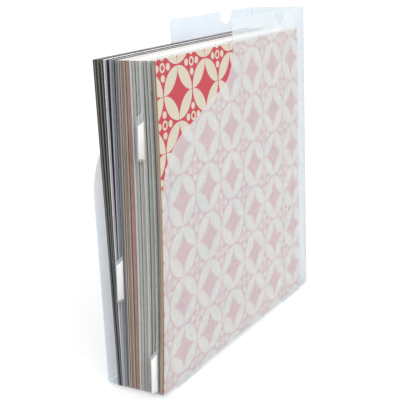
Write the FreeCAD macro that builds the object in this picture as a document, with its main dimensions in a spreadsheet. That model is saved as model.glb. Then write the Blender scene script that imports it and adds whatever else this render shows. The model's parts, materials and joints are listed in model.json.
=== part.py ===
import FreeCAD, Part
import Sketcher
import math
import os
import re

# An upright scrapbook paper holder, open at the top and at one side: a box of
# die-cut frosted polypropylene sheet, standing on four tongue tips, with square
# sheets of paper on edge in it and three tabbed dividers between the sheets.
# X runs across the stack, Y from the open side to the spine, Z up. The pieces are
# drawn round the middle of the base's underside, and at the end they are moved
# together so that the origin is under the middle of the whole, on the ground.

Vector = FreeCAD.Vector
UP = Vector(0, 0, 1)
ALONG = Vector(0, 1, 0)

doc = FreeCAD.newDocument("paper_holder")
sheet = doc.addObject("Spreadsheet::Sheet", "Sizes")

# Every size that can be chosen by itself, in millimetres and degrees.
DRIVING_SIZES = [
    ("paper_size", 304.8, "side of a square scrapbook sheet, 12 in"),
    ("holder_width", 64.0, "outside width over the two panels"),
    ("depth_room", 19.2, "holder depth beyond the paper's own"),
    ("head_room", 24.2, "panel height beyond the paper's own"),
    ("wall", 0.8, "thickness of the polypropylene sheet"),
    ("back_fold", 3.0, "radius of the fold under the back panel"),
    ("spine_crease", 2.0, "radius of the two spine creases"),
    ("tab_length", 182.0, "length of each panel's raised tab, from the spine"),
    ("tab_corner", 4.0, "radius of the raised tab's free corner"),
    ("scoop_height", 225.0, "height where the scoop's line meets the open edge"),
    ("scoop_angle", 19.9, "rise of the scoop towards the raised tab"),
    ("scoop_hollow", 38.0, "radius between the scoop and the raised tab"),
    ("scoop_shoulder", 60.0, "radius between the scoop and the open edge"),
    ("notch_radius", 13.5, "radius of the thumb notch"),
    ("notch_setback", 67.0, "thumb notch's centre, from the spine"),
    ("bow", 11.3, "how far the full stack pushes the front panel's top corner out"),
    ("bow_sag", 3.4, "how far the open edge bends away from its chord"),
    ("foot_length", 49.0, "length of a tongue that the panel stands on"),
    ("foot_drop", 2.4, "how far a tongue reaches below the base"),
    ("foot_inset", 21.0, "tongue's distance from the panel's end"),
    ("foot_slant", 2.0, "slant of a tongue's two ends"),
    ("lock_clearance", 0.3, "room round a locking tongue in its slot"),
    ("lock_reach", 2.6, "how far a locking tongue passes through its slot"),
    ("running_gap", 0.3, "air between things that slide past each other"),
    ("leaf_air", 0.05, "air between the leaves of one bundle"),
    ("edge_scatter", 2.0, "how unevenly the paper's front edges lie"),
    ("rear_lean", 0.3, "backward lean of the rearmost paper, degrees"),
    ("cover_thickness", 0.3, "thickness of the printed cover sheet"),
    ("divider_thickness", 0.5, "thickness of a divider's sheet"),
    ("tab_reach", 11.5, "how far a divider's tab stands out of the stack"),
    ("tab_height", 43.4, "height of a divider's tab"),
    ("tab_slant", 2.6, "slant of a divider tab's two ends"),
    ("tab_low", 0.8, "height of the lowest divider tab above the divider's foot"),
    ("tab_middle", 87.0, "height of the middle divider tab"),
    ("tab_high", 219.0, "height of the highest divider tab"),
    ("window_skin", 0.3, "thickness of the clear window over a label"),
    ("window_rib", 0.9, "width of the window's welded edges"),
    ("label_thickness", 0.25, "thickness of a label card"),
    ("label_slip", 0.1, "room on each side of a label card"),
    ("label_height", 37.0, "height of the middle and lowest labels"),
    ("short_label_height", 32.5, "height of the highest label"),
    ("label_lift", 2.4, "label's height above the foot of its tab"),
]

for row, (alias, value, meaning) in enumerate(DRIVING_SIZES, start=1):
    sheet.set("A%d" % row, meaning)
    sheet.set("B%d" % row, str(value))
    sheet.setAlias("B%d" % row, alias)
doc.recompute()

ALIASES = [alias for alias, value, meaning in DRIVING_SIZES]

# Sizes that follow from those above.
DERIVED_SIZES = {
    "half_width": "(holder_width / 2)",
    "depth": "(paper_size + depth_room)",
    "half_depth": "((paper_size + depth_room) / 2)",
    "panel_height": "(paper_size + head_room)",
    "tab_start": "((paper_size + depth_room) / 2 - tab_length)",
    "scoop_slope": "tan(scoop_angle * 1deg)",
    "label_gap": "(label_thickness + 2 * label_slip)",
}


def cells(text):
    """The expression for a size formula: every size name becomes its cell."""
    for name, formula in DERIVED_SIZES.items():
        text = re.sub(r"\b%s\b" % name, formula, text)
    pattern = r"\b(%s)\b" % "|".join(ALIASES)
    return re.sub(pattern, r"Sizes.\1", text)


def size(text):
    """The number that a size formula gives now."""
    value = sheet.evalExpression(cells(text))
    return float(getattr(value, "Value", value))


def new_body(label):
    body = doc.addObject("PartDesign::Body", label)
    body.Label = label
    return body


def origin_plane(body, role):
    return next(item for item in body.Origin.OriginFeatures if item.Role == role)


def new_sketch(body, name, role, height="0"):
    """A sketch on one of the body's origin planes, raised along its normal."""
    sketch = body.newObject("Sketcher::SketchObject", name)
    sketch.AttachmentSupport = [(origin_plane(body, role), "")]
    sketch.MapMode = "FlatFace"
    sketch.setExpression("AttachmentOffset.Base.z", cells(height))
    return sketch


def draw(sketch, start, path):
    """Draw a closed outline of lines and arcs whose points are size formulas.

    path holds (x, y) for a line to a point and (x, y, cx, cy, turn) for an arc
    round a centre, where turn is 1 counter-clockwise and -1 clockwise.
    """
    corners = [start] + [step[:2] for step in path[:-1]]
    for number, step in enumerate(path):
        begin = Vector(size(corners[number][0]), size(corners[number][1]), 0)
        end = Vector(size(step[0]), size(step[1]), 0)
        if len(step) == 2:
            sketch.addGeometry(Part.LineSegment(begin, end), False)
            continue
        centre = Vector(size(step[2]), size(step[3]), 0)
        first = math.atan2(begin.y - centre.y, begin.x - centre.x)
        last = math.atan2(end.y - centre.y, end.x - centre.x)
        if step[4] < 0:
            first, last = last, first
        circle = Part.Circle(centre, UP, (begin - centre).Length)
        sketch.addGeometry(Part.ArcOfCircle(circle, first, last), False)
    count = len(path)
    for number, step in enumerate(path):
        after = (number + 1) % count
        leaves = 1 if len(step) == 5 and step[4] < 0 else 2
        enters = 2 if len(path[after]) == 5 and path[after][4] < 0 else 1
        sketch.addConstraint(Sketcher.Constraint("Coincident", number, leaves, after, enters))
        for kind, formula in (("DistanceX", step[0]), ("DistanceY", step[1])):
            bind(sketch, kind, number, leaves, formula)
    for number, step in enumerate(path):
        if len(step) == 5:
            begin = corners[number]
            level = abs(size(begin[0]) - size(step[0])) > abs(size(begin[1]) - size(step[1]))
            kind, formula = ("DistanceY", step[3]) if level else ("DistanceX", step[2])
            bind(sketch, kind, number, 3, formula)


def bind(sketch, kind, number, end, formula):
    """Tie one coordinate of a sketch point to a size formula."""
    rule = Sketcher.Constraint(kind, -1, 1, number, end, size(formula))
    index = sketch.addConstraint(rule)
    sketch.setExpression("Constraints[%d]" % index, cells(formula))


def pad(body, name, sketch, length):
    feature = body.newObject("PartDesign::Pad", name)
    feature.Profile = sketch
    feature.setExpression("Length", cells(length))
    doc.recompute()
    return feature


def pocket(body, name, sketch, length):
    """Cut from the sketch against its normal, and make sure that it did cut."""
    before = body.Shape.Volume
    feature = body.newObject("PartDesign::Pocket", name)
    feature.Profile = sketch
    feature.setExpression("Length", cells(length))
    doc.recompute()
    if body.Shape.Volume > before - 1e-6:
        raise RuntimeError("%s cuts nothing" % name)
    return feature


def rectangle(sketch, left, bottom, right, top):
    path = [(right, bottom), (right, top), (left, top), (left, bottom)]
    draw(sketch, (left, bottom), path)


# ---------------------------------------------------------------- the panels

def cut_scoop(body, face, length):
    """Open the panel's upper corner with an S-shaped scoop.

    The scoop's straight line meets the open edge at scoop_height and the raised
    tab further in, and a round shoulder and a round hollow ease both corners.
    """
    turn = "tan((45deg - scoop_angle * 0.5deg))"
    edge = "(-half_depth)"
    rise = "(tab_start + half_depth) * scoop_slope"
    low_reach = "(scoop_shoulder * %s)" % turn
    high_reach = "(scoop_hollow * %s)" % turn
    low_y = "(-half_depth + %s * cos(scoop_angle * 1deg))" % low_reach
    low_z = "(scoop_height + %s * sin(scoop_angle * 1deg))" % low_reach
    high_y = "(tab_start - %s * cos(scoop_angle * 1deg))" % high_reach
    high_z = "(scoop_height + %s - %s * sin(scoop_angle * 1deg))" % (rise, high_reach)
    edge_z = "(scoop_height - %s)" % low_reach
    tab_z = "(scoop_height + %s + %s)" % (rise, high_reach)
    above = "(panel_height + tab_corner)"
    outside = "(-half_depth - tab_reach)"
    sketch = new_sketch(body, body.Label + "_scoop_sketch", "YZ_Plane", face)
    draw(sketch, (edge, edge_z), [
        (low_y, low_z, "(-half_depth + scoop_shoulder)", edge_z, -1),
        (high_y, high_z),
        ("tab_start", tab_z, "(tab_start - scoop_hollow)", tab_z, 1),
        ("tab_start", "(panel_height - tab_corner)"),
        ("(tab_start + tab_corner)", "panel_height",
         "(tab_start + tab_corner)", "(panel_height - tab_corner)", -1),
        ("(tab_start + tab_corner)", above),
        (outside, above),
        (outside, edge_z),
        (edge, edge_z),
    ])
    pocket(body, body.Label + "_scoop", sketch, length)


def cut_notch(body, face, length):
    """Cut the half-round thumb notch into the raised tab's top edge."""
    centre = "(half_depth - notch_setback)"
    near = "(half_depth - notch_setback - notch_radius)"
    far = "(half_depth - notch_setback + notch_radius)"
    above = "(panel_height + tab_corner)"
    sketch = new_sketch(body, body.Label + "_notch_sketch", "YZ_Plane", face)
    draw(sketch, (near, "panel_height"), [
        (far, "panel_height", centre, "panel_height", 1),
        (far, above),
        (near, above),
        (near, "panel_height"),
    ])
    pocket(body, body.Label + "_notch", sketch, length)


def add_feet(body, face, seat):
    """The two tongues that are cut free of the base and stay in the panel."""
    for name, near, far in (
        ("near_foot", "(-half_depth + foot_inset)", "(-half_depth + foot_inset + foot_length)"),
        ("far_foot", "(half_depth - foot_inset - foot_length)", "(half_depth - foot_inset)"),
    ):
        sketch = new_sketch(body, "%s_%s_sketch" % (body.Label, name), "YZ_Plane", face)
        draw(sketch, (near, seat), [
            (near, "0"),
            ("%s + foot_slant" % near, "-foot_drop"),
            ("%s - foot_slant" % far, "-foot_drop"),
            (far, "0"),
            (far, seat),
            (near, seat),
        ])
        pad(body, "%s_%s" % (body.Label, name), sketch, "wall")


def front_panel():
    """The outer panel, bowed outwards at its open top corner by the full stack.

    Its open edge is an arc and its spine edge is straight, and the sheet between
    them is ruled, as a flexed sheet is when only one edge is held.
    """
    body = new_body("front_panel")
    chord = "sqrt(panel_height * panel_height + bow * bow)"
    radius = "((panel_height * panel_height + bow * bow) / 4 + bow_sag * bow_sag) / (2 * bow_sag)"
    back_off = "((%s) - bow_sag) / %s" % (radius, chord)
    centre_x = "(half_width + bow / 2 - panel_height * %s)" % back_off
    centre_z = "(panel_height / 2 + bow * %s)" % back_off
    open_edge = new_sketch(body, "front_open_edge", "XZ_Plane", "half_depth")
    draw(open_edge, ("half_width", "0"), [
        ("half_width + bow", "panel_height", centre_x, centre_z, 1),
        ("half_width + bow - wall", "panel_height"),
        ("half_width - wall", "0", "%s - wall" % centre_x, centre_z, -1),
        ("half_width", "0"),
    ])
    spine_edge = new_sketch(body, "front_spine_edge", "XZ_Plane", "spine_crease - half_depth")
    draw(spine_edge, ("half_width", "0"), [
        ("half_width", "panel_height"),
        ("half_width - wall", "panel_height"),
        ("half_width - wall", "0"),
        ("half_width", "0"),
    ])
    doc.recompute()
    loft = body.newObject("PartDesign::AdditiveLoft", "front_sheet")
    loft.Profile = open_edge
    loft.Sections = [spine_edge]
    loft.Ruled = True
    doc.recompute()
    face = "half_width + bow + bow_sag + wall"
    reach = "bow + bow_sag + 4 * wall"
    cut_scoop(body, face, reach)
    cut_notch(body, face, reach)
    add_feet(body, "half_width - wall", "wall")
    return body


def back_panel():
    """The rear panel, flat, cut to the same outline as the front one."""
    body = new_body("back_panel")
    sketch = new_sketch(body, "back_sketch", "YZ_Plane", "-half_width")
    rectangle(sketch, "-half_depth", "wall + back_fold",
              "half_depth - spine_crease", "panel_height")
    pad(body, "back_sheet", sketch, "wall")
    face = "-half_width + 2 * wall"
    cut_scoop(body, face, "3 * wall")
    cut_notch(body, face, "3 * wall")
    add_feet(body, "-half_width", "2 * wall + back_fold")
    return body


def spine_panel():
    """The closed narrow side, with the two rounded creases that join the panels."""
    body = new_body("spine_panel")
    sketch = new_sketch(body, "spine_sketch", "XY_Plane", "0")
    inner = "(half_depth - spine_crease)"
    draw(sketch, ("half_width", inner), [
        ("half_width - spine_crease", "half_depth", "half_width - spine_crease", inner, 1),
        ("spine_crease - half_width", "half_depth"),
        ("-half_width", inner, "spine_crease - half_width", inner, 1),
        ("wall - half_width", inner),
        ("spine_crease - half_width", "half_depth - wall",
         "spine_crease - half_width", inner, -1),
        ("half_width - spine_crease", "half_depth - wall"),
        ("half_width - wall", inner, "half_width - spine_crease", inner, -1),
        ("half_width", inner),
    ])
    pad(body, "spine_sheet", sketch, "panel_height")
    return body


# ---------------------------------------------------------- the locking base

SLOT_ENDS = (
    ("near", "(-half_depth + foot_inset)", "(-half_depth + foot_inset + foot_length)"),
    ("far", "(half_depth - foot_inset - foot_length)", "(half_depth - foot_inset)"),
)
FLAP_NEAR = "(-half_depth)"
FLAP_FAR = "(half_depth - spine_crease - lock_clearance)"
SLOT_WIDTH = "(wall + 2 * lock_clearance)"


def cut_slots(body, left, right, height, drop):
    """The slots that the panel's tongues leave along a flap's crease."""
    for name, near, far in SLOT_ENDS:
        sketch = new_sketch(body, "%s_%s_slot_sketch" % (body.Label, name), "XY_Plane", height)
        rectangle(sketch, left, "%s - lock_clearance" % near, right, "%s + lock_clearance" % far)
        pocket(body, "%s_%s_slot" % (body.Label, name), sketch, drop)


def add_locks(body, left, right, foot, height):
    """The locking tongues, bent out of the flap's free edge."""
    for name, near, far in SLOT_ENDS:
        sketch = new_sketch(body, "%s_%s_lock_sketch" % (body.Label, name), "XY_Plane", foot)
        rectangle(sketch, left, "%s + foot_slant" % near, right, "%s - foot_slant" % far)
        pad(body, "%s_%s_lock" % (body.Label, name), sketch, height)


def outer_flap():
    """The lower layer of the base, creased to the front panel."""
    body = new_body("base_outer_flap")
    sketch = new_sketch(body, "outer_flap_sketch", "XY_Plane", "0")
    rectangle(sketch, "wall + lock_clearance - half_width", FLAP_NEAR,
              "half_width - wall", FLAP_FAR)
    pad(body, "outer_flap_sheet", sketch, "wall")
    cut_slots(body, "half_width - wall - %s" % SLOT_WIDTH, "half_width + wall",
              "2 * wall", "3 * wall")
    add_locks(body, "wall + lock_clearance - half_width",
              "2 * wall + lock_clearance - half_width", "0", "2 * wall + lock_reach")
    return body


def inner_flap():
    """The upper layer of the base, with the rounded fold to the back panel."""
    body = new_body("base_inner_flap")
    sketch = new_sketch(body, "inner_flap_sketch", "XZ_Plane", "half_depth")
    top = "(2 * wall)"
    fold_x = "(back_fold - half_width)"
    fold_z = "(wall + back_fold)"
    free_edge = "(half_width - wall - lock_clearance)"
    draw(sketch, (fold_x, "wall"), [
        (free_edge, "wall"),
        (free_edge, top),
        (fold_x, top),
        ("wall - half_width", fold_z, fold_x, fold_z, -1),
        ("-half_width", fold_z),
        (fold_x, "wall", fold_x, fold_z, 1),
    ])
    feature = pad(body, "inner_flap_sheet", sketch, "depth - spine_crease - lock_clearance")
    feature.Reversed = True
    doc.recompute()
    cut_slots(body, "-half_width - wall", "2 * wall + 2 * lock_clearance - half_width",
              "2 * wall + back_fold", "3 * wall + back_fold")
    add_locks(body, "half_width - 2 * wall - lock_clearance", free_edge,
              "wall - lock_reach", "lock_reach")
    return body


# ----------------------------------------------------------------- the stack

def arc_bow(height):
    """How far the front panel's open edge stands out at a height."""
    rise = size("panel_height")
    out = size("bow")
    sag = size("bow_sag")
    chord = math.hypot(rise, out)
    radius = (chord * chord / 4 + sag * sag) / (2 * sag)
    centre_x = out / 2 - rise * (radius - sag) / chord
    centre_z = rise / 2 + out * (radius - sag) / chord
    return centre_x + math.sqrt(radius ** 2 - (height - centre_z) ** 2)


PAPER = size("paper_size")
GAP = size("running_gap")
FLOOR = size("2 * wall + running_gap")
PANEL_SHIFT = arc_bow(FLOOR + PAPER)

# The stack is turned in plan so that it lies along the bowed front panel, and its
# front part leans outwards against it.
TURN = math.atan2(PANEL_SHIFT, size("depth - spine_crease"))
FRONT_LEAN = math.atan2(PANEL_SHIFT, PAPER)
REAR_LEAN = -math.radians(size("rear_lean"))
TURNED_SHIFT = PAPER * math.sin(TURN)
REAR_SHIFT = PAPER * math.sin(-REAR_LEAN)
FREE_GAP = TURNED_SHIFT + REAR_SHIFT + 2 * GAP

# From the back panel to the front one: a bundle is a count of leaves and the share
# of the whole lean, from the rear to the front, that its first and last leaf have.
BACK_BUNDLES = (
    (3, 0.0, 0.1),
    (3, 0.38, 0.52),
    (2, 0.8, 0.86),
)
MIDDLE_BUNDLES = ((5, 1, 1), (6, 1, 1), (5, 1, 1), (5, 1, 1))
FRONT_BUNDLES = ((4, 1, 1),)
LAST_BUNDLES = ((3, 1, 1),)
ALL_BUNDLES = BACK_BUNDLES + MIDDLE_BUNDLES + FRONT_BUNDLES + LAST_BUNDLES
LEAF_COUNT = sum(bundle[0] for bundle in ALL_BUNDLES)

# A divider's slot leaves room for its window in front of the sheet.
WINDOW_DEPTH = size("label_gap + window_skin")
DIVIDER_SLOT = size("divider_thickness") + WINDOW_DEPTH + GAP
STACK_WIDTH = size("holder_width - 2 * wall") - FREE_GAP - 2 * GAP
TAKEN = 3 * DIVIDER_SLOT + size("cover_thickness") + (len(ALL_BUNDLES) + 3) * GAP
TAKEN += (LEAF_COUNT - len(ALL_BUNDLES)) * size("leaf_air")
LEAF = (STACK_WIDTH - TAKEN) / LEAF_COUNT

STACK_FRONT = size("half_width - wall") - 2 * GAP
STACK = FreeCAD.Placement(Vector(STACK_FRONT, size("-half_depth"), FLOOR),
                          FreeCAD.Rotation(UP, math.degrees(TURN)))
LEANS = {"rear": REAR_LEAN, "front": FRONT_LEAN}


def stand(across, forward, lean):
    """Where a thing stands in the turned stack: across it, forward of it, leaning."""
    tilt = FreeCAD.Rotation(ALONG, math.degrees(lean))
    return STACK.multiply(FreeCAD.Placement(Vector(across, -forward, 0), tilt))


def leaf(label, thickness, across, forward, lean):
    """A square leaf of paper on edge."""
    box = doc.addObject("Part::Box", label)
    box.Label = label
    box.Length = thickness
    box.setExpression("Width", cells("paper_size"))
    box.setExpression("Height", cells("paper_size"))
    box.Placement = stand(across, forward, lean)
    return box


def scatter(number):
    """An uneven but repeatable share of the edge scatter."""
    return size("edge_scatter") * (0.5 + 0.5 * math.sin(2.4 * number))


def bundle(label, across, first_leaf, shape):
    """A bundle of leaves, fanned from its first lean to its last."""
    count, first_share, last_share = shape
    leaves = []
    for number in range(count):
        share = first_share
        if count > 1:
            share += (last_share - first_share) * number / (count - 1)
        lean = REAR_LEAN + (FRONT_LEAN - REAR_LEAN) * share
        name = "%s_leaf_%d" % (label, number + 1)
        leaves.append(leaf(name, LEAF, across, scatter(first_leaf + number), lean))
        across += LEAF + size("leaf_air")
    group = doc.addObject("Part::Compound", label)
    group.Label = label
    group.Links = leaves
    return group, across - size("leaf_air")


# --------------------------------------------------------------- the dividers

def divider_sheet(label, place, foot):
    """A frosted sheet as large as the paper, with one tab out of its front edge."""
    body = new_body(label)
    sketch = new_sketch(body, label + "_sketch", "YZ_Plane", "0")
    top = "%s + tab_height" % foot
    draw(sketch, ("0", "0"), [
        ("paper_size", "0"),
        ("paper_size", "paper_size"),
        ("0", "paper_size"),
        ("0", top),
        ("-tab_reach", "%s - tab_slant" % top),
        ("-tab_reach", "%s + tab_slant" % foot),
        ("0", foot),
        ("0", "0"),
    ])
    pad(body, label + "_pad", sketch, "divider_thickness")
    body.Placement = place
    return body


WINDOW_INNER = "-window_rib"
WINDOW_OUTER = "(window_rib - tab_reach)"


def divider_window(label, place, foot):
    """The clear window welded to a tab's front face, open at both ends."""
    body = new_body(label)
    top = "(%s + tab_height)" % foot
    sketch = new_sketch(body, label + "_sketch", "YZ_Plane", "divider_thickness")
    draw(sketch, ("0", foot), [
        ("0", top),
        ("-tab_reach", "%s - tab_slant" % top),
        ("-tab_reach", "%s + tab_slant" % foot),
        ("0", foot),
    ])
    pad(body, label + "_pad", sketch, "label_gap + window_skin")
    channel = new_sketch(body, label + "_channel_sketch", "XY_Plane",
                         "%s + window_rib" % top)
    rectangle(channel, "divider_thickness - window_rib", WINDOW_OUTER,
              "divider_thickness + label_gap", WINDOW_INNER)
    pocket(body, label + "_channel", channel, "tab_height + 2 * window_rib")
    body.Placement = place
    return body


def divider_label(label, place, foot, height):
    """The white card in the window, with its ends cut to the slant of the tab's."""
    body = new_body(label)
    root = "(%s - label_slip)" % WINDOW_INNER
    tip = "(%s + label_slip)" % WINDOW_OUTER
    low = "(%s + label_lift)" % foot
    top = "(%s + %s)" % (low, height)
    sketch = new_sketch(body, label + "_sketch", "YZ_Plane",
                        "divider_thickness + label_slip")
    draw(sketch, (root, low), [
        (root, top),
        (tip, "%s - tab_slant * 0.8" % top),
        (tip, "%s + tab_slant * 0.8" % low),
        (root, low),
    ])
    pad(body, label + "_pad", sketch, "label_thickness")
    body.Placement = place
    return body


def divider(name, across, foot, label_height):
    """One divider in its slot: sheet, window and label."""
    place = stand(across, size("edge_scatter") / 2, FRONT_LEAN)
    return [
        divider_sheet("divider_%s_sheet" % name, place, foot),
        divider_window("divider_%s_window" % name, place, foot),
        divider_label("divider_%s_label" % name, place, foot, label_height),
    ]


def fill_stack():
    """Stand everything in the holder, from the back panel to the front one."""
    made = []
    across = -STACK_WIDTH
    leaves = 0
    number = 0
    groups = (
        (BACK_BUNDLES, ("middle", "tab_middle", "label_height")),
        (MIDDLE_BUNDLES, ("high", "tab_high", "short_label_height")),
        (FRONT_BUNDLES, ("low", "tab_low", "label_height")),
        (LAST_BUNDLES, None),
    )
    for bundles, divides in groups:
        for shape in bundles:
            number += 1
            group, edge = bundle("paper_bundle_%d" % number, across, leaves, shape)
            made.append(group)
            leaves += shape[0]
            across = edge + GAP
        if divides:
            made.extend(divider(divides[0], across, divides[1], divides[2]))
            across += DIVIDER_SLOT + GAP
    cover = leaf("cover_sheet", size("cover_thickness"), across,
                 size("edge_scatter") / 4, FRONT_LEAN)
    made.append(cover)
    return made


# ------------------------------------------------------------- build and write

pieces = [front_panel(), back_panel(), spine_panel(), outer_flap(), inner_flap()]
pieces += fill_stack()
doc.recompute()

drawn = Part.makeCompound([piece.Shape for piece in pieces]).optimalBoundingBox()
home = FreeCAD.Placement(Vector(-drawn.Center.x, -drawn.Center.y, -drawn.ZMin),
                         FreeCAD.Rotation())
for piece in pieces:
    piece.Placement = home.multiply(piece.Placement)
doc.recompute()

for item in doc.Objects:
    if "Invalid" in item.State or "Error" in item.State:
        raise RuntimeError("%s failed: %s" % (item.Label, item.State))
for piece in pieces:
    if piece.Shape.isNull() or not piece.Shape.isValid():
        raise RuntimeError("%s has no valid shape" % piece.Label)
    if not piece.Shape.Solids:
        raise RuntimeError("%s has no solid" % piece.Label)

os.makedirs("parts", exist_ok=True)
for piece in pieces:
    piece.Shape.exportStep(os.path.join("parts", piece.Label + ".step"))

box = Part.makeCompound([piece.Shape for piece in pieces]).optimalBoundingBox()
print("nodes %d, solids %d, leaf %.3f mm" % (
    len(pieces), sum(len(piece.Shape.Solids) for piece in pieces), LEAF))
print("box X %.1f %.1f  Y %.1f %.1f  Z %.1f %.1f" % (
    box.XMin, box.XMax, box.YMin, box.YMax, box.ZMin, box.ZMax))
print("turn %.3f deg, front lean %.3f deg, free gap %.1f mm" % (
    math.degrees(TURN), math.degrees(FRONT_LEAN), FREE_GAP))
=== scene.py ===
import json
import math
import random

import bpy
from mathutils import Euler, Matrix, Vector

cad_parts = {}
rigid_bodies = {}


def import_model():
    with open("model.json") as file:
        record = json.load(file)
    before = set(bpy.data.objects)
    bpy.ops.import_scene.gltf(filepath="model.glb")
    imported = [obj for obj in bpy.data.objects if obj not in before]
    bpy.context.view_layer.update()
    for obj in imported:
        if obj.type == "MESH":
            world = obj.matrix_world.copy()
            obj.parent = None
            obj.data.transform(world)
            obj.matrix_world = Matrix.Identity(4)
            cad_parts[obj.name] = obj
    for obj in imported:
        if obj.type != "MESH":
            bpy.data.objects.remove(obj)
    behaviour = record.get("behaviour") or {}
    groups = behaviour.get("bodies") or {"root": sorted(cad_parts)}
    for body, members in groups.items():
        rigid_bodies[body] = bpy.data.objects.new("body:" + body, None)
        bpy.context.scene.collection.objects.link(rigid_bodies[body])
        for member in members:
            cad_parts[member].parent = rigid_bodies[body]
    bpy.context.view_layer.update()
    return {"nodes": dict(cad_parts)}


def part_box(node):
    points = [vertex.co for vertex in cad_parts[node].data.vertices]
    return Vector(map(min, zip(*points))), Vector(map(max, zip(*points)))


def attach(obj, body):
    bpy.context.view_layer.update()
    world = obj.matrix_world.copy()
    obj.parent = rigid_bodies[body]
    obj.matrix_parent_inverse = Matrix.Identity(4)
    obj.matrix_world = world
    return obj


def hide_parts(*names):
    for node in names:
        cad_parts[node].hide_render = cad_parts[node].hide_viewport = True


for leftover in list(bpy.data.objects):
    bpy.data.objects.remove(leftover)
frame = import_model()


# ------------------------------------------------------------------ the holder
# One blank of 0.8 mm polypropylene, extruded between matt rollers, die-cut and
# creased, then folded up: two panels, a spine and a base of two flaps that lock
# with tongues. Its cut edges are hardly rounded and its folds are living hinges.

HOLDER_PIECES = ("front_panel", "back_panel", "spine_panel",
                 "base_outer_flap", "base_inner_flap")
DIE_CUT_ROUND = 0.00015
SHARP_EDGE = 35            # degrees: what turns by more is rounded
MESH_WELD = 0.00003        # corners this near are one, which keeps the rounding clean
FLAT_TURN = 0.02           # degrees: faces that turn by less are one


def linear(colour):
    """The linear RGBA of an sRGB hex colour such as "#E8F2FB"."""
    channels = [int(colour[place:place + 2], 16) / 255 for place in (1, 3, 5)]
    bent = [c / 12.92 if c <= 0.04045 else ((c + 0.055) / 1.055) ** 2.4 for c in channels]
    return (*bent, 1.0)


def add_node(tree, kind, inputs, **settings):
    """Add a shader node with its settings, and set or link its inputs."""
    node = tree.nodes.new(kind)
    for name, value in settings.items():
        setattr(node, name, value)
    for name, value in inputs.items():
        if isinstance(value, bpy.types.NodeSocket):
            tree.links.new(value, node.inputs[name])
        else:
            node.inputs[name].default_value = value
    return node


def new_material(name):
    """A material with an empty tree, and the tree."""
    material = bpy.data.materials.new(name)
    material.use_nodes = True
    material.node_tree.nodes.clear()
    return material, material.node_tree


def frosted_polypropylene(name, colour, haze, face_cover, softened):
    """Extruded polypropylene with a matt-rolled face.

    Some light goes straight through each face. The rest meets the milky wall, which
    lets a softened share through and throws back what is left, so whatever lies
    against the sheet shows through it pale. The uneven melt leaves faint clouds.
    """
    grain = 0.0009
    grain_depth = 0.0001
    cloud = 0.035
    glossiest, roughest = 0.42, 0.58
    material, tree = new_material(name)
    place = add_node(tree, "ShaderNodeTexCoord", {})
    clouds = add_node(tree, "ShaderNodeTexNoise", {
        "Vector": place.outputs["Object"], "Scale": 1 / cloud, "Detail": 2.0})
    tint = add_node(tree, "ShaderNodeValToRGB", {"Fac": clouds.outputs["Fac"]})
    tint.color_ramp.elements[0].position = 0.3
    tint.color_ramp.elements[0].color = linear(haze)
    tint.color_ramp.elements[1].position = 0.7
    tint.color_ramp.elements[1].color = linear(colour)
    rolled = add_node(tree, "ShaderNodeTexNoise", {
        "Vector": place.outputs["Object"], "Scale": 1 / grain, "Detail": 3.0})
    rough = add_node(tree, "ShaderNodeMapRange", {
        "Value": rolled.outputs["Fac"], "To Min": glossiest, "To Max": roughest})
    bump = add_node(tree, "ShaderNodeBump", {
        "Height": rolled.outputs["Fac"], "Strength": 0.25, "Distance": grain_depth})
    shader = add_node(tree, "ShaderNodeBsdfPrincipled", {
        "Base Color": tint.outputs["Color"], "Roughness": rough.outputs["Result"],
        "Normal": bump.outputs["Normal"], "IOR": 1.49,
        "Transmission Weight": softened, "Alpha": face_cover})
    add_node(tree, "ShaderNodeOutputMaterial", {"Surface": shader.outputs["BSDF"]})
    return material


def dress(node, material, body, edge_round=DIE_CUT_ROUND):
    """Round the cut edges of a welded copy of a CAD piece and put it in its place."""
    piece = bpy.data.objects.new(node + "_dressed", frame["nodes"][node].data.copy())
    bpy.context.collection.objects.link(piece)
    bpy.ops.object.select_all(action="DESELECT")
    piece.select_set(True)
    bpy.context.view_layer.objects.active = piece
    bpy.ops.object.mode_set(mode="EDIT")
    bpy.ops.mesh.select_all(action="SELECT")
    bpy.ops.mesh.remove_doubles(threshold=MESH_WELD)
    bpy.ops.mesh.dissolve_limited(angle_limit=math.radians(FLAT_TURN))
    bpy.ops.object.mode_set(mode="OBJECT")
    rounding = piece.modifiers.new("die_cut", "BEVEL")
    rounding.width = edge_round
    rounding.segments = 2
    rounding.angle_limit = math.radians(SHARP_EDGE)
    rounding.harden_normals = True
    bpy.ops.object.shade_smooth()
    bpy.ops.object.modifier_apply(modifier=rounding.name)
    piece.data.materials.clear()
    piece.data.materials.append(material)
    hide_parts(node)
    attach(piece, body)
    return piece


# Colour, haze, the cover of each face and the softened share.
front_sheet = frosted_polypropylene("front_polypropylene", "#F8FDFF", "#F1F9FF", 0.38, 0.16)
# The rear, inner base and spine pieces are darker, bluer copies of the same sheet: painted shade for
# the inside of the holder.
shaded_rear_sheet = frosted_polypropylene("rear_polypropylene_painted_shade", "#C3D8E8", "#BAD0E2", 0.30, 0.0)
shaded_spine_sheet = frosted_polypropylene("spine_polypropylene_painted_shade", "#CFE4F0", "#C4DAE8", 0.32, 0.0)
SHEET_FINISHES = {"front_panel": front_sheet, "base_outer_flap": front_sheet,
                  "spine_panel": shaded_spine_sheet}
for holder_piece in HOLDER_PIECES:
    dress(holder_piece, SHEET_FINISHES.get(holder_piece, shaded_rear_sheet), "holder")


# ------------------------------------------------------------------- the paper
# Square sheets of cardstock and printed paper, guillotined in piles at 12 in and
# bought in packs of like sheets. They stand on edge, five to each leaf of the
# frame, and no two lie quite flush.

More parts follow.
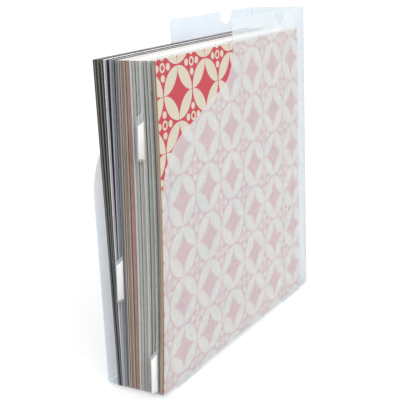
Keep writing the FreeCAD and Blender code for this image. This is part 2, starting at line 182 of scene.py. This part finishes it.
PAPER_SIZE = 0.3048
SHEETS_IN_LEAF = 5
SHEET_FILL = 0.86          # share of a sheet's room that the sheet itself takes
SHEET_DIVISIONS = 10
EDGE_JITTER = 0.00003      # how unevenly the sheets of one pack lie
PACK_JITTER = 0.0001       # and the packs
PACK_TONES = (0.89, 1.06)  # how light or dark a pack is
SHEET_TONES = (0.92, 1.05) # and each sheet in it
WAVE_DEPTH = 0.00012       # a pack isn't quite flat
WAVE_TURN_UP = 5           # radians of the wave over the sheet's height, and along it
WAVE_TURN_ALONG = 2
SIDE_EDGE_PAINTED_SHADE = 0.76   # painted shade on the near, far and lower edges, and a painted highlight on the top ones
TOP_EDGE_PAINTED_HIGHLIGHT = 1.5
TOP_EDGE_HIGHLIGHT_PALING = 0.45     # the painted highlight also pales the top edges towards white, with less of the dye
EDGE_STREAK = 0.045        # how long a lighter or darker streak runs down the edges
OPEN_EDGE_BOW = 0.0034     # how far the front sheets bend out at mid-height
LEAF_WELD = 0.000002       # a leaf's corners this near are one

# Ground colour and colour of the cut edge, and for printed paper the print, its ink
# and its repeat.
PAPER_STOCKS = {
    "burgundy": ("#5E2F38", "#8C626A"),
    "ink": ("#3A4042", "#828A88"),
    "umber": ("#6B5A50", "#9C9892"),
    "mist": ("#C9CDD2", "#F6F8FA", "dot", "#E9E9EC", 0.012),
    "lavender": ("#9C96A6", "#CDC9D1", "dot", "#C5C0CC", 0.009),
    "slate": ("#7E8890", "#A9B2B8"),
    "taupe": ("#97806C", "#C4B7B1"),
    "moss": ("#86876F", "#C2BAA8", "stripe", "#999A84", 0.005),
    "terracotta": ("#B58370", "#B59A8F", "gingham", "#C49B8A", 0.014),
    "rose": ("#BC8E90", "#BE9694"),
    "pearl": ("#BFC4C4", "#E8EAE7", "gingham", "#CBCFCF", 0.01),
    "sage": ("#A3AFA5", "#D3CEC2", "dot", "#B7C1B7", 0.016),
    "pewter": ("#9DA19E", "#CCCECC", "gingham", "#AAAEAA", 0.01),
}

# The packs in each bundle, from its rear leaf to its front one.
PACKS = {
    "paper_bundle_1": ("burgundy", "ink", "umber"),
    "paper_bundle_2": ("ink", "mist", "lavender"),
    "paper_bundle_3": ("lavender", "slate"),
    "paper_bundle_4": ("ink", "taupe", "moss", "taupe", "taupe"),
    "paper_bundle_5": ("taupe", "taupe", "terracotta", "terracotta", "rose", "pewter"),
    "paper_bundle_6": ("pearl", "sage", "sage", "pewter", "sage"),
    "paper_bundle_7": ("pewter", "sage", "sage", "pearl", "sage"),
    "paper_bundle_8": ("pewter", "moss", "sage", "pewter"),
    "paper_bundle_9": ("moss", "terracotta", "taupe"),
}
# One darker sheet closes some of the packs: which pack, and of what stock.
PARTING_SHEETS = {"paper_bundle_2": (2, "ink"), "paper_bundle_3": (1, "ink"),
                  "paper_bundle_4": (4, "ink"), "paper_bundle_6": (1, "umber"),
                  "paper_bundle_7": (2, "umber"), "paper_bundle_8": (1, "slate"),
                  "paper_bundle_9": (1, "burgundy")}
FLAT_BUNDLES = 3           # the rear ones, which stand clear of the bowed panel


def print_on(tree, place, kind, repeat):
    """How much ink a simple print lays at a place on the sheet, from 0 to 1."""
    dot_reach = 0.24       # share of the repeat
    count = PAPER_SIZE / repeat
    tiled = add_node(tree, "ShaderNodeVectorMath", {
        0: place.outputs["UV"], 1: (count, count, 0)}, operation="MULTIPLY")
    folded = add_node(tree, "ShaderNodeVectorMath", {0: tiled.outputs[0]}, operation="FRACTION")
    if kind == "dot":
        centred = add_node(tree, "ShaderNodeVectorMath", {
            0: folded.outputs[0], 1: (0.5, 0.5, 0)}, operation="SUBTRACT")
        reach = add_node(tree, "ShaderNodeVectorMath", {0: centred.outputs[0]}, operation="LENGTH")
        inked = add_node(tree, "ShaderNodeMath", {
            0: reach.outputs["Value"], 1: dot_reach}, operation="LESS_THAN")
        return inked.outputs[0]
    parts = add_node(tree, "ShaderNodeSeparateXYZ", {"Vector": folded.outputs[0]})
    across = add_node(tree, "ShaderNodeMath", {0: parts.outputs["Y"], 1: 0.5}, operation="LESS_THAN")
    if kind == "stripe":
        return across.outputs[0]
    along = add_node(tree, "ShaderNodeMath", {0: parts.outputs["X"], 1: 0.5}, operation="LESS_THAN")
    both = add_node(tree, "ShaderNodeMath", {
        0: across.outputs[0], 1: along.outputs[0]}, operation="ADD")
    woven = add_node(tree, "ShaderNodeMath", {0: both.outputs[0], 1: 0.5}, operation="MULTIPLY")
    return woven.outputs[0]


def cut_edge(tree, place):
    """1 on a sheet's cut edges and 0 on its two faces, which look along X."""
    facing = add_node(tree, "ShaderNodeSeparateXYZ", {"Vector": place.outputs["Normal"]})
    sideways = add_node(tree, "ShaderNodeMath", {0: facing.outputs["X"]}, operation="ABSOLUTE")
    cut = add_node(tree, "ShaderNodeMath", {
        0: sideways.outputs[0], 1: 0.5}, operation="LESS_THAN")
    return cut.outputs[0]


def lit_and_shaded_edge(tree, place, edge):
    """The colour of the cut edges, with painted shade on the near, far and lower ones and a painted
    highlight, lighter and paler, on top.
    """
    facing = add_node(tree, "ShaderNodeSeparateXYZ", {"Vector": place.outputs["Normal"]})
    # Edges that face up get a painted highlight, and all the others get painted shade.
    upper = add_node(tree, "ShaderNodeMath", {
        0: facing.outputs["Z"], 1: 0.5}, operation="GREATER_THAN")
    tone = add_node(tree, "ShaderNodeMapRange", {
        "Value": upper.outputs[0], "To Min": SIDE_EDGE_PAINTED_SHADE, "To Max": TOP_EDGE_PAINTED_HIGHLIGHT})
    tint = add_node(tree, "ShaderNodeMapRange", {
        "Value": upper.outputs[0], "To Min": 1.0, "To Max": TOP_EDGE_HIGHLIGHT_PALING})
    painted_light_edge = add_node(tree, "ShaderNodeHueSaturation", {
        "Color": linear(edge), "Saturation": tint.outputs["Result"],
        "Value": tone.outputs["Result"]})
    return painted_light_edge.outputs["Color"]


def paper_stock(name, streak_width, ground, edge, kind=None, ink=None, repeat=None):
    """Uncoated cardstock, dyed and printed.

    Its fibres leave a fine mottle and a dead matt surface. On the cut edge the
    paler core shows, and each sheet is a little lighter or darker than the next.
    """
    fibre = 0.0012
    material, tree = new_material(name + "_paper")
    place = add_node(tree, "ShaderNodeTexCoord", {})
    colour = add_node(tree, "ShaderNodeRGB", {})
    colour.outputs[0].default_value = linear(ground)
    printed = colour.outputs[0]
    if kind:
        inked = print_on(tree, place, kind, repeat)
        printed = add_node(tree, "ShaderNodeMix", {
            "Factor": inked, "A": printed, "B": linear(ink)}, data_type="RGBA").outputs["Result"]
    fibres = add_node(tree, "ShaderNodeTexNoise", {
        "Vector": place.outputs["Object"], "Scale": 1 / fibre, "Detail": 4.0})
    tone = add_node(tree, "ShaderNodeAttribute", {}, attribute_name="sheet_tone")
    mottle = add_node(tree, "ShaderNodeMapRange", {
        "Value": fibres.outputs["Fac"], "To Min": 0.9, "To Max": 1.1})
    shade = add_node(tree, "ShaderNodeMath", {
        0: mottle.outputs["Result"], 1: tone.outputs["Fac"]}, operation="MULTIPLY")
    toned = add_node(tree, "ShaderNodeMix", {
        "Factor": 1.0, "A": printed, "B": shade.outputs[0]},
        data_type="RGBA", blend_type="MULTIPLY")
    drawn_out = add_node(tree, "ShaderNodeVectorMath", {
        0: place.outputs["Object"], 1: (1 / streak_width, 0, 1 / EDGE_STREAK)},
        operation="MULTIPLY")
    streaks = add_node(tree, "ShaderNodeTexNoise", {
        "Vector": drawn_out.outputs[0], "Scale": 1.0, "Detail": 3.0})
    streak_shade = add_node(tree, "ShaderNodeMapRange", {
        "Value": streaks.outputs["Fac"], "From Min": 0.3, "From Max": 0.7,
        "To Min": 0.84, "To Max": 1.16})
    edge_shade = add_node(tree, "ShaderNodeMath", {
        0: shade.outputs[0], 1: streak_shade.outputs["Result"]}, operation="MULTIPLY")
    # The cut edges carry painted shade at the sides and a painted highlight on top.
    toned_edge = add_node(tree, "ShaderNodeMix", {
        "Factor": 1.0, "A": lit_and_shaded_edge(tree, place, edge), "B": edge_shade.outputs[0]},
        data_type="RGBA", blend_type="MULTIPLY")
    edged = add_node(tree, "ShaderNodeMix", {
        "Factor": cut_edge(tree, place), "A": toned.outputs["Result"],
        "B": toned_edge.outputs["Result"]}, data_type="RGBA")
    bump = add_node(tree, "ShaderNodeBump", {
        "Height": fibres.outputs["Fac"], "Strength": 0.15, "Distance": 0.0001})
    shader = add_node(tree, "ShaderNodeBsdfPrincipled", {
        "Base Color": edged.outputs["Result"], "Roughness": 0.85,
        "Normal": bump.outputs["Normal"], "IOR": 1.45, "Specular IOR Level": 0.25})
    add_node(tree, "ShaderNodeOutputMaterial", {"Surface": shader.outputs["BSDF"]})
    return material


def sheet_blank(name, divisions, thickness):
    """A square sheet standing on its lower near corner at the origin, facing +X."""
    bpy.ops.object.select_all(action="DESELECT")
    bpy.ops.mesh.primitive_grid_add(x_subdivisions=divisions, y_subdivisions=divisions,
                                    size=PAPER_SIZE, calc_uvs=True)
    blank = bpy.context.active_object
    blank.name = name
    half = PAPER_SIZE / 2
    blank.data.transform(Matrix(((0, 0, 1, 0), (1, 0, 0, half), (0, 1, 0, half), (0, 0, 0, 1))))
    wall = blank.modifiers.new("thickness", "SOLIDIFY")
    wall.thickness = thickness
    wall.offset = -1
    bpy.ops.object.modifier_apply(modifier=wall.name)
    return blank


def leaf_corners(node):
    """The frame's leaves: lower near rear corner, and the ways forward, along and up."""
    mesh = frame["nodes"][node].data
    bpy.ops.object.select_all(action="DESELECT")
    copy = bpy.data.objects.new("leaf_copy", mesh.copy())
    bpy.context.collection.objects.link(copy)
    copy.select_set(True)
    bpy.context.view_layer.objects.active = copy
    bpy.ops.object.mode_set(mode="EDIT")
    bpy.ops.mesh.select_all(action="SELECT")
    bpy.ops.mesh.remove_doubles(threshold=LEAF_WELD)
    bpy.ops.mesh.separate(type="LOOSE")
    bpy.ops.object.mode_set(mode="OBJECT")
    leaves = []
    for part in list(bpy.context.selected_objects):
        low = sorted((v.co.copy() for v in part.data.vertices), key=lambda c: c.z)
        near, far = [], []
        for corner in low[:4]:
            (near if corner.y < sum(c.y for c in low[:4]) / 4 else far).append(corner)
        near.sort(key=lambda c: c.x)
        far.sort(key=lambda c: c.x)
        top = min(low[4:], key=lambda c: (c - near[0]).length)
        leaves.append((near[0], near[1] - near[0], far[0] - near[0], top - near[0]))
        bpy.data.objects.remove(part)
    leaves.sort(key=lambda leaf: leaf[0].x)
    return leaves


def stand_sheet(blank, corner, along, up, tone, phase, bow):
    """A copy of the blank, standing in the stack, with its own tone and its pack's bend."""
    along = along.normalized()
    up = up.normalized()
    out = along.cross(up)
    sheet = blank.data.copy()
    for vertex in sheet.vertices:
        span = 1 - vertex.co.y / PAPER_SIZE
        rise = vertex.co.z / PAPER_SIZE
        wave_turn = phase + WAVE_TURN_UP * rise + WAVE_TURN_ALONG * span
        vertex.co.x += WAVE_DEPTH * math.sin(wave_turn)
        vertex.co.x += bow * 4 * rise * (1 - rise) * span
    turn = Matrix((out, along, up)).transposed().to_4x4()
    sheet.transform(Matrix.Translation(corner) @ turn)
    tones = sheet.attributes.new("sheet_tone", "FLOAT", "FACE")
    tones.data.foreach_set("value", [tone] * len(sheet.polygons))
    piece = bpy.data.objects.new("sheet", sheet)
    bpy.context.collection.objects.link(piece)
    return piece


random.seed(12)
leaf_thickness = leaf_corners("paper_bundle_1")[0][1].length
stocks = {name: paper_stock(name, leaf_thickness, *look)
          for name, look in PAPER_STOCKS.items()}
sheet_room = leaf_thickness / SHEETS_IN_LEAF
blank = sheet_blank("sheet_blank", SHEET_DIVISIONS, sheet_room * SHEET_FILL)

bowed_bundles = list(PACKS)[FLAT_BUNDLES:]
bowed_leaves = sum(len(PACKS[bundle]) for bundle in bowed_bundles)
front_leaf = 0
for bundle, packs in PACKS.items():
    closed_leaf, closing_stock = PARTING_SHEETS.get(bundle, (None, None))
    sheets = []
    for leaf, (corner, forward, along, up) in enumerate(leaf_corners(bundle)):
        front_leaf += bundle in bowed_bundles
        pack_tone = random.uniform(*PACK_TONES)
        pack_shift = random.uniform(-PACK_JITTER, PACK_JITTER)
        pack_phase = random.uniform(0, math.tau)
        for number in range(SHEETS_IN_LEAF):
            place = corner + forward * ((number + 0.5) / SHEETS_IN_LEAF)
            place += along.normalized() * (pack_shift + random.uniform(-EDGE_JITTER, EDGE_JITTER))
            place += forward.normalized() * (sheet_room * SHEET_FILL / 2)
            share = max(front_leaf - 1 + number / SHEETS_IN_LEAF, 0) / bowed_leaves
            sheet_tone = pack_tone * random.uniform(*SHEET_TONES)
            sheet = stand_sheet(blank, place, along, up, sheet_tone, pack_phase,
                                OPEN_EDGE_BOW * share)
            closes = leaf == closed_leaf and number == SHEETS_IN_LEAF - 1
            sheet.data.materials.append(stocks[closing_stock if closes else packs[leaf]])
            sheets.append(sheet)
    bpy.ops.object.select_all(action="DESELECT")
    for sheet in sheets:
        sheet.select_set(True)
    bpy.context.view_layer.objects.active = sheets[0]
    bpy.ops.object.join()
    pile = bpy.context.active_object
    pile.name = bundle + "_sheets"
    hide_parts(bundle)
    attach(pile, bundle)
bpy.data.objects.remove(blank)


# ------------------------------------------------------------- the cover sheet
# The foremost sheet, printed one side with a traditional trellis of touching
# circles, each with a hollow-sided diamond in it, crimson and cream. It lies
# against the front panel and bends with it.

TRELLIS_PITCH = (0.0500, 0.0484)    # along the sheet and down it
FIRST_CIRCLE_ALONG = 0.0353
FIRST_CIRCLE_DOWN = 0.0317
CIRCLE_REACH = 0.486       # from here to the bead, shares of the pitch
DIAMOND_REACH = 0.45
DIAMOND_HOLLOW = 0.62
PETAL_PARTING = 0.005
RING = (0.088, 0.046)      # its outer and inner reach
BEAD_AWAY = 0.185
BEAD_REACH = 0.066
COVER_DIVISIONS = 60
COVER_THICKNESS = 0.0003
COVER_AIR = 0.0004         # between the cover and the front panel
PANEL_WALL = 0.0008
OPEN_EDGE_BULGE = 0.0113   # how far the full stack pushes the panel's top corner out


def trellis_print():
    """Litho-printed paper: cream circles and dots on crimson, slightly sheened."""
    fibre = 0.00111
    material, tree = new_material("trellis_print_paper")
    place = add_node(tree, "ShaderNodeTexCoord", {})
    pitch_along, pitch_down = TRELLIS_PITCH
    repeats = (PAPER_SIZE / pitch_along, PAPER_SIZE / pitch_down, 0)
    start = (0.5 - FIRST_CIRCLE_ALONG / pitch_along,
             0.5 - (PAPER_SIZE - FIRST_CIRCLE_DOWN) / pitch_down, 0)
    tiled = add_node(tree, "ShaderNodeVectorMath", {
        0: place.outputs["UV"], 1: repeats, 2: start},
        operation="MULTIPLY_ADD")
    folded = add_node(tree, "ShaderNodeVectorMath", {0: tiled.outputs[0]}, operation="FRACTION")
    centred = add_node(tree, "ShaderNodeVectorMath", {
        0: folded.outputs[0], 1: (0.5, 0.5, 0)}, operation="SUBTRACT")
    quarter = add_node(tree, "ShaderNodeVectorMath", {0: centred.outputs[0]}, operation="ABSOLUTE")

    def within(point, limit):
        reach = add_node(tree, "ShaderNodeVectorMath", {0: point}, operation="LENGTH")
        return add_node(tree, "ShaderNodeMath", {
            0: reach.outputs["Value"], 1: limit}, operation="LESS_THAN").outputs[0]

    def away_from(point, centre):
        return add_node(tree, "ShaderNodeVectorMath", {
            0: point, 1: centre}, operation="SUBTRACT").outputs[0]

    circle = within(centred.outputs[0], CIRCLE_REACH)
    parts = add_node(tree, "ShaderNodeSeparateXYZ", {"Vector": quarter.outputs[0]})
    powers = [add_node(tree, "ShaderNodeMath", {
        0: parts.outputs[axis], 1: DIAMOND_HOLLOW}, operation="POWER").outputs[0]
        for axis in "XY"]
    added = add_node(tree, "ShaderNodeMath", {0: powers[0], 1: powers[1]}, operation="ADD")
    outside_diamond = add_node(tree, "ShaderNodeMath", {
        0: added.outputs[0], 1: DIAMOND_REACH ** DIAMOND_HOLLOW}, operation="GREATER_THAN")
    nearest_axis = add_node(tree, "ShaderNodeMath", {
        0: parts.outputs["X"], 1: parts.outputs["Y"]}, operation="MINIMUM")
    off_line = add_node(tree, "ShaderNodeMath", {
        0: nearest_axis.outputs[0], 1: PETAL_PARTING}, operation="GREATER_THAN")
    petals = add_node(tree, "ShaderNodeMath", {
        0: circle, 1: outside_diamond.outputs[0]}, operation="MULTIPLY")
    cream = add_node(tree, "ShaderNodeMath", {
        0: petals.outputs[0], 1: off_line.outputs[0]}, operation="MULTIPLY").outputs[0]
    between_circles = away_from(quarter.outputs[0], (0.5, 0.5, 0))
    ring = add_node(tree, "ShaderNodeMath", {
        0: within(between_circles, RING[0]), 1: within(between_circles, RING[1])},
        operation="SUBTRACT")
    fillings = [ring.outputs[0]]
    for bead in ((0.5 - BEAD_AWAY, 0.5, 0), (0.5, 0.5 - BEAD_AWAY, 0)):
        fillings.append(within(away_from(quarter.outputs[0], bead), BEAD_REACH))
    for filling in fillings:
        cream = add_node(tree, "ShaderNodeMath", {
            0: cream, 1: filling}, operation="MAXIMUM").outputs[0]
    fibres = add_node(tree, "ShaderNodeTexNoise", {
        "Vector": place.outputs["Object"], "Scale": 1 / fibre, "Detail": 4.0})
    inks = add_node(tree, "ShaderNodeMix", {
        "Factor": cream, "A": linear("#C54C57"), "B": linear("#D8CFBD")}, data_type="RGBA")
    mottle = add_node(tree, "ShaderNodeMapRange", {
        "Value": fibres.outputs["Fac"], "To Min": 0.93, "To Max": 1.07})
    toned = add_node(tree, "ShaderNodeMix", {
        "Factor": 1.0, "A": inks.outputs["Result"], "B": mottle.outputs["Result"]},
        data_type="RGBA", blend_type="MULTIPLY")
    edged = add_node(tree, "ShaderNodeMix", {
        "Factor": cut_edge(tree, place), "A": toned.outputs["Result"],
        "B": linear("#D3C6A6")}, data_type="RGBA")
    bump = add_node(tree, "ShaderNodeBump", {
        "Height": fibres.outputs["Fac"], "Strength": 0.1, "Distance": 0.0001})
    shader = add_node(tree, "ShaderNodeBsdfPrincipled", {
        "Base Color": edged.outputs["Result"], "Roughness": 0.6,
        "Normal": bump.outputs["Normal"], "IOR": 1.45, "Specular IOR Level": 0.3})
    add_node(tree, "ShaderNodeOutputMaterial", {"Surface": shader.outputs["BSDF"]})
    return material


panel_low, panel_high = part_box("front_panel")
panel_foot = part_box("base_outer_flap")[0][2]
fold_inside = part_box("spine_panel")[1][0] - PANEL_WALL


def panel_inner_face(y, z):
    """Where the bowed front panel's inner face stands at a place on it."""
    rise = (z - panel_foot) / (panel_high[2] - panel_foot)
    share = (panel_high[1] - y) / (panel_high[1] - panel_low[1])
    bow = OPEN_EDGE_BULGE * rise + 4 * OPEN_EDGE_BOW * rise * (1 - rise)
    return fold_inside + share * bow


bpy.ops.object.select_all(action="DESELECT")
bpy.ops.mesh.primitive_grid_add(x_subdivisions=COVER_DIVISIONS, y_subdivisions=COVER_DIVISIONS,
                                size=PAPER_SIZE, calc_uvs=True)
cover = bpy.context.active_object
cover.name = "cover_sheet_print"
cover_foot = leaf_corners("cover_sheet")[0][0].z
for vertex in cover.data.vertices:
    y = panel_low[1] + vertex.co.x + PAPER_SIZE / 2
    z = cover_foot + vertex.co.y + PAPER_SIZE / 2
    vertex.co = (panel_inner_face(y, z) - COVER_AIR, y, z)
wall = cover.modifiers.new("thickness", "SOLIDIFY")
wall.thickness = COVER_THICKNESS
wall.offset = -1
bpy.context.view_layer.objects.active = cover
bpy.ops.object.modifier_apply(modifier=wall.name)
cover.select_set(True)
bpy.ops.object.shade_smooth_by_angle(angle=math.radians(30))
cover.data.materials.append(trellis_print())
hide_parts("cover_sheet")
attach(cover, "cover_sheet")


# ---------------------------------------------------------------- the dividers
# Thin frosted polypropylene sheets, die-cut with one tab each at its own height.
# A clear film window is welded to the tab's front along both edges, and a white
# card slides in it from above.

DIVIDER_ROUND = 0.0001
FILM_ROUND = 0.00005
CARD_ROUND = 0.00004


def clear_film(name):
    """Glossy clear film, with the faint waves that welding leaves in it."""
    wave = 0.00556
    material, tree = new_material(name)
    place = add_node(tree, "ShaderNodeTexCoord", {})
    waves = add_node(tree, "ShaderNodeTexNoise", {
        "Vector": place.outputs["Object"], "Scale": 1 / wave, "Detail": 1.0})
    bump = add_node(tree, "ShaderNodeBump", {
        "Height": waves.outputs["Fac"], "Strength": 0.2, "Distance": 0.0002})
    shader = add_node(tree, "ShaderNodeBsdfPrincipled", {
        "Base Color": linear("#F4F8FB"), "Roughness": 0.12,
        "Normal": bump.outputs["Normal"], "IOR": 1.49, "Alpha": 0.04})
    add_node(tree, "ShaderNodeOutputMaterial", {"Surface": shader.outputs["BSDF"]})
    return material


def white_card(name):
    """Smooth white index card with a fine fibre mottle."""
    fibre = 0.00083
    material, tree = new_material(name)
    place = add_node(tree, "ShaderNodeTexCoord", {})
    fibres = add_node(tree, "ShaderNodeTexNoise", {
        "Vector": place.outputs["Object"], "Scale": 1 / fibre, "Detail": 3.0})
    tint = add_node(tree, "ShaderNodeMix", {
        "Factor": fibres.outputs["Fac"], "A": linear("#FFFFFF"), "B": linear("#FCFCFB")},
        data_type="RGBA")
    shader = add_node(tree, "ShaderNodeBsdfPrincipled", {
        "Base Color": tint.outputs["Result"], "Roughness": 0.7, "IOR": 1.45})
    add_node(tree, "ShaderNodeOutputMaterial", {"Surface": shader.outputs["BSDF"]})
    return material


divider_sheet = frosted_polypropylene("divider_polypropylene", "#F0F5F9", "#E4ECF2", 0.28, 0.0)
window_film = clear_film("clear_film")
label_card = white_card("label_card")
for name in ("middle", "high", "low"):
    body = "divider_" + name
    dress(body + "_sheet", divider_sheet, body, DIVIDER_ROUND)
    dress(body + "_window", window_film, body, FILM_ROUND)
    dress(body + "_label", label_card, "label_" + name, CARD_ROUND)


# ------------------------------------------------- the floor, lights and camera
# A plain pale floor, a white surround and one broad soft light from above and
# the right, with an even fill from all round.

FLOOR_SIZE = 40
HORIZON_LIGHT = 0.58
OVERHEAD_LIGHT = 0.9       # added straight above, less and less towards the horizon
KEY_STRENGTH = 2.3
KEY_SPREAD = 50            # degrees
KEY_FROM = (0.70, -0.60, 0.50)
CAMERA_PLACE = (0.43303, -0.75410, 0.38691)
CAMERA_AZIMUTH = 30.96
CAMERA_ELEVATION = 15.41
CAMERA_ROLL = -2.57
FOCAL_PIXELS = 870.9
PICTURE_PIXELS = 400
SENSOR_WIDTH = 36


def seen_ray(tree):
    """1 for rays that show the surround, straight, mirrored or through something clear."""
    path = add_node(tree, "ShaderNodeLightPath", {})
    seen = path.outputs["Is Camera Ray"]
    for ray in ("Is Glossy Ray", "Is Transmission Ray"):
        seen = add_node(tree, "ShaderNodeMath", {
            0: seen, 1: path.outputs[ray]}, operation="MAXIMUM").outputs[0]
    return seen


def floor_paint(name):
    """Flat white studio paint with a trace of roller texture.

    It glows a little of its own white, so shadows on it stay light, and it
    throws little light back at the object.
    """
    own_white = 0.6
    roller_mark = 0.0167
    material, tree = new_material(name)
    seen = seen_ray(tree)
    place = add_node(tree, "ShaderNodeTexCoord", {})
    roller = add_node(tree, "ShaderNodeTexNoise", {
        "Vector": place.outputs["Object"], "Scale": 1 / roller_mark, "Detail": 2.0})
    tint = add_node(tree, "ShaderNodeMix", {
        "Factor": roller.outputs["Fac"], "A": linear("#FDFDFD"), "B": linear("#FAFAFA")},
        data_type="RGBA")
    paint = add_node(tree, "ShaderNodeMix", {
        "Factor": seen, "A": linear("#8C8C8C"), "B": tint.outputs["Result"]}, data_type="RGBA")
    matt = add_node(tree, "ShaderNodeBsdfDiffuse", {"Color": paint.outputs["Result"]})
    white = add_node(tree, "ShaderNodeEmission", {"Color": tint.outputs["Result"], "Strength": 1.0})
    share = add_node(tree, "ShaderNodeMath", {0: seen, 1: own_white}, operation="MULTIPLY")
    shader = add_node(tree, "ShaderNodeMixShader", {
        0: share.outputs[0], 1: matt.outputs["BSDF"], 2: white.outputs["Emission"]})
    add_node(tree, "ShaderNodeOutputMaterial", {"Surface": shader.outputs["Shader"]})
    return material


bpy.ops.object.select_all(action="DESELECT")
bpy.ops.mesh.primitive_grid_add(x_subdivisions=4, y_subdivisions=4, size=FLOOR_SIZE)
floor = bpy.context.active_object
floor.name = "studio_floor"
floor.data.materials.append(floor_paint("floor_paint"))

world = bpy.data.worlds.new("studio")
bpy.context.scene.world = world
world.use_nodes = True
world.node_tree.nodes.clear()
direction = add_node(world.node_tree, "ShaderNodeTexCoord", {})
height = add_node(world.node_tree, "ShaderNodeSeparateXYZ", {
    "Vector": direction.outputs["Generated"]})
overhead = add_node(world.node_tree, "ShaderNodeMath", {
    0: height.outputs["Z"], 1: height.outputs["Z"]}, operation="MULTIPLY")
soft_boxes = add_node(world.node_tree, "ShaderNodeMath", {
    0: overhead.outputs[0], 1: OVERHEAD_LIGHT, 2: HORIZON_LIGHT}, operation="MULTIPLY_ADD")
level = add_node(world.node_tree, "ShaderNodeMix", {
    "Factor": seen_ray(world.node_tree), "A": soft_boxes.outputs[0], "B": 1.0},
    data_type="FLOAT")
surround = add_node(world.node_tree, "ShaderNodeBackground", {
    "Color": (1, 1, 1, 1), "Strength": level.outputs["Result"]})
add_node(world.node_tree, "ShaderNodeOutputWorld", {"Surface": surround.outputs["Background"]})

key = bpy.data.lights.new("key", "SUN")
key.energy = KEY_STRENGTH
key.angle = math.radians(KEY_SPREAD)
key_light = bpy.data.objects.new("key_light", key)
bpy.context.collection.objects.link(key_light)
key_light.rotation_euler = Vector(KEY_FROM).to_track_quat("Z", "Y").to_euler()

camera_data = bpy.data.cameras.new("camera")
camera_data.sensor_width = SENSOR_WIDTH
camera_data.lens = SENSOR_WIDTH * FOCAL_PIXELS / PICTURE_PIXELS
camera = bpy.data.objects.new("camera", camera_data)
bpy.context.collection.objects.link(camera)
aim = Euler((math.radians(90 - CAMERA_ELEVATION), 0, math.radians(CAMERA_AZIMUTH)))
roll = Matrix.Rotation(math.radians(CAMERA_ROLL), 3, "Z")
camera.location = CAMERA_PLACE
camera.rotation_euler = (aim.to_matrix() @ roll).to_euler()
bpy.context.scene.camera = camera
bpy.context.scene.view_settings.view_transform = "Standard"
